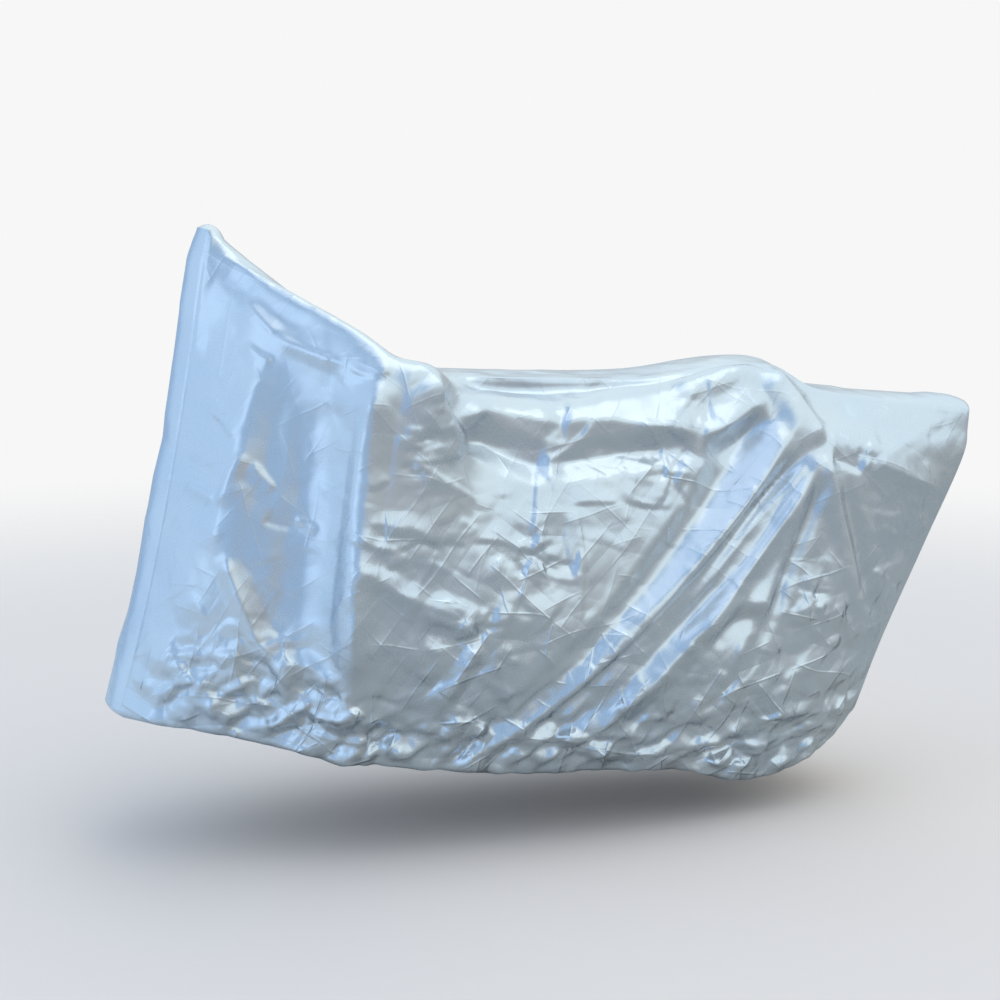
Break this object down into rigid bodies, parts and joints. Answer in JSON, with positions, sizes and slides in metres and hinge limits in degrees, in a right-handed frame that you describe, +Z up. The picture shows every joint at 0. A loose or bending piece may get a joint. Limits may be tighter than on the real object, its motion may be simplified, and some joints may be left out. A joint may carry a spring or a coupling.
{
  "type": "motorcycle cover",
  "caption": "Fitted silver-coated cloth cover as it hangs over a scooter: side panels sewn to a nose and top strip, peaked front, elastic hem rolled under.",
  "frame": {"origin": "inside of the top strip over the saddle, where the covered machine holds the cover up", "axes": "+X from the nose to the tail, +Y to the rider's right, +Z up"},
  "size_m": [1.998, 0.7206, 1.2249],
  "materials": {
    "panel_cloth": "thin woven polyester with a satin silver coating, crinkled, with packing creases",
    "strip_cloth": "thin woven polyester with a satin silver coating, smooth, puckered along its seams"
  },
  "bodies": {
    "root": {"side_panel_left": "panel_cloth", "side_panel_right": "panel_cloth", "front_strip": "strip_cloth", "top_strip": "strip_cloth"}
  },
  "joints": []
}
